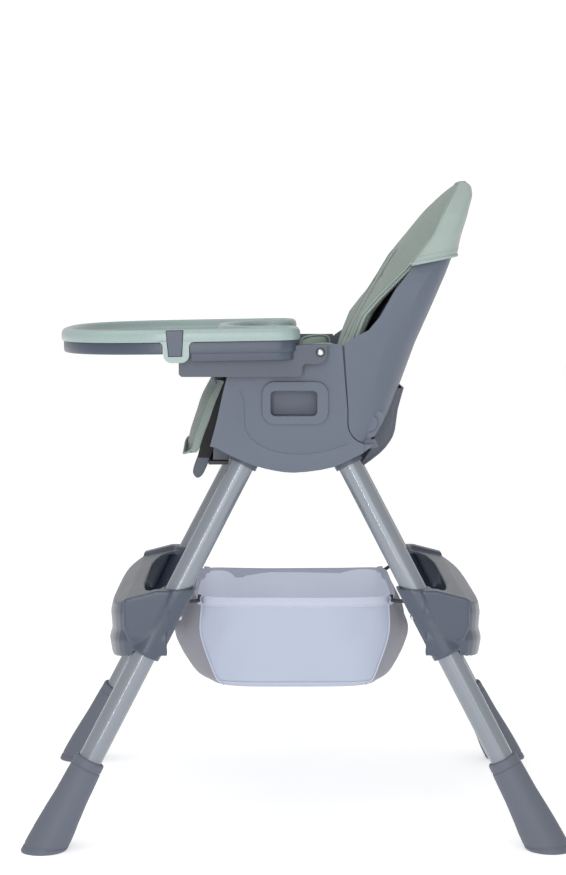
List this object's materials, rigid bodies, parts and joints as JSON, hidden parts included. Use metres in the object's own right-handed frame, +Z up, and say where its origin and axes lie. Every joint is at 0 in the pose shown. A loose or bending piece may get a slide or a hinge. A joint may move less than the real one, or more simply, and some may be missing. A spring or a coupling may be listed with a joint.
{
  "type": "baby high chair",
  "caption": "Baby high chair with a reclining moulded seat, sliding two-part tray on lift-up arms, padded cover, harness, splayed tubular legs and a fabric storage basket.",
  "frame": {"origin": "on the floor, at the centre of the chair's footprint", "axes": "+Z up, -Y the way the child faces, +X the child's left"},
  "size_m": [0.582, 0.8035, 0.977],
  "materials": {
    "slate_plastic": "satin moulded polypropylene, slate grey",
    "dark_plastic": "satin moulded polypropylene, darker slate grey",
    "black_plastic": "satin black",
    "mint_plastic": "semi-gloss mint green",
    "leatherette": "fine-grained sage green leatherette with stitched piping",
    "harness_webbing": "woven webbing",
    "painted_tube": "silver-grey powder coat with a soft sheen",
    "steel": "bright steel",
    "basket_cloth": "plain woven polyester, pale lavender grey"
  },
  "bodies": {
    "chair": {"side_panel_left": "slate_plastic", "side_panel_right": "slate_plastic", "carry_handle_left": "slate_plastic", "carry_handle_right": "slate_plastic", "seat_pan": "slate_plastic", "calf_plate": "slate_plastic", "seat_base": "dark_plastic", "recline_bracket_left": "dark_plastic", "recline_bracket_right": "dark_plastic", "leg_bracket_front": "dark_plastic", "leg_bracket_rear": "dark_plastic", "foot_front_left": "dark_plastic", "foot_front_right": "dark_plastic", "foot_rear_left": "dark_plastic", "foot_rear_right": "dark_plastic", "basket_hook_front_left": "dark_plastic", "basket_hook_front_right": "dark_plastic", "basket_hook_rear_left": "dark_plastic", "basket_hook_rear_right": "dark_plastic", "front_crossbar": "black_plastic", "harness_buckle": "black_plastic", "seat_cushion": "leatherette", "calf_pad": "leatherette", "lap_strap_left": "harness_webbing", "lap_strap_right": "harness_webbing", "crotch_strap": "harness_webbing", "upper_leg_front_left": "painted_tube", "upper_leg_front_right": "painted_tube", "upper_leg_rear_left": "painted_tube", "upper_leg_rear_right": "painted_tube", "lower_leg_front_left": "painted_tube", "lower_leg_front_right": "painted_tube", "lower_leg_rear_left": "painted_tube", "lower_leg_rear_right": "painted_tube", "pivot_bolt_left": "steel", "pivot_bolt_right": "steel", "arm_rivet_left": "steel", "arm_rivet_right": "steel", "basket": "basket_cloth"},
    "backrest": {"backrest_shell": "slate_plastic", "backrest_tail": "dark_plastic", "backrest_board": "dark_plastic", "backrest_cover": "leatherette", "shoulder_strap_left": "harness_webbing", "shoulder_strap_right": "harness_webbing"},
    "recline_lever": {"recline_paddle": "dark_plastic"},
    "arms": {"armrest_left": "slate_plastic", "armrest_right": "slate_plastic"},
    "tray": {"tray_base": "slate_plastic"},
    "tray_slide_grip": {"tray_slide_lever": "mint_plastic"},
    "food_tray": {"tray_top": "mint_plastic"},
    "clip_left": {"tray_clip_lever_left": "slate_plastic"},
    "clip_right": {"tray_clip_lever_right": "slate_plastic"},
    "button_front_left": {"snap_button_front_left": "steel"},
    "button_front_right": {"snap_button_front_right": "steel"},
    "button_rear_left": {"snap_button_rear_left": "steel"},
    "button_rear_right": {"snap_button_rear_right": "steel"}
  },
  "joints": [
    {"name": "backrest_recline", "type": "hinge", "parent": "chair", "child": "backrest", "pos_m": [0, 0.106, 0.62], "axis": [-1, 0, 0], "range_deg": [0, 25]},
    {"name": "recline_lever_pull", "type": "slide", "parent": "backrest", "child": "recline_lever", "axis": [0, 0, 1], "range_m": [0, 0.006], "stiffness_N_per_m": 900, "springref_m": -0.004},
    {"name": "arms_lift", "type": "hinge", "parent": "chair", "child": "arms", "pos_m": [0, 0.0346, 0.724], "axis": [-1, 0, 0], "range_deg": [0, 75]},
    {"name": "tray_slide", "type": "slide", "parent": "arms", "child": "tray", "axis": [0, -1, 0], "range_m": [0, 0.08]},
    {"name": "tray_slide_grip_pull", "type": "slide", "parent": "tray", "child": "tray_slide_grip", "axis": [0, -1, 0], "range_m": [0, 0.008], "stiffness_N_per_m": 800, "springref_m": -0.004},
    {"name": "food_tray_lift_off", "type": "slide", "parent": "tray", "child": "food_tray", "axis": [0, 0, 1], "range_m": [0, 0.06]},
    {"name": "clip_left_press", "type": "slide", "parent": "food_tray", "child": "clip_left", "axis": [-1, 0, 0], "range_m": [0, 0.003], "stiffness_N_per_m": 1200, "springref_m": -0.002},
    {"name": "clip_right_press", "type": "slide", "parent": "food_tray", "child": "clip_right", "axis": [1, 0, 0], "range_m": [0, 0.003], "stiffness_N_per_m": 1200, "springref_m": -0.002},
    {"name": "button_front_left_press", "type": "slide", "parent": "chair", "child": "button_front_left", "axis": [-0.0631, -0.8887, 0.4542], "range_m": [0, 0.004], "stiffness_N_per_m": 1200, "springref_m": -0.002},
    {"name": "button_front_right_press", "type": "slide", "parent": "chair", "child": "button_front_right", "axis": [0.0631, -0.8887, 0.4542], "range_m": [0, 0.004], "stiffness_N_per_m": 1200, "springref_m": -0.002},
    {"name": "button_rear_left_press", "type": "slide", "parent": "chair", "child": "button_rear_left", "axis": [-0.0631, 0.8887, 0.4542], "range_m": [0, 0.004], "stiffness_N_per_m": 1200, "springref_m": -0.002},
    {"name": "button_rear_right_press", "type": "slide", "parent": "chair", "child": "button_rear_right", "axis": [0.0631, 0.8887, 0.4542], "range_m": [0, 0.004], "stiffness_N_per_m": 1200, "springref_m": -0.002}
  ]
}
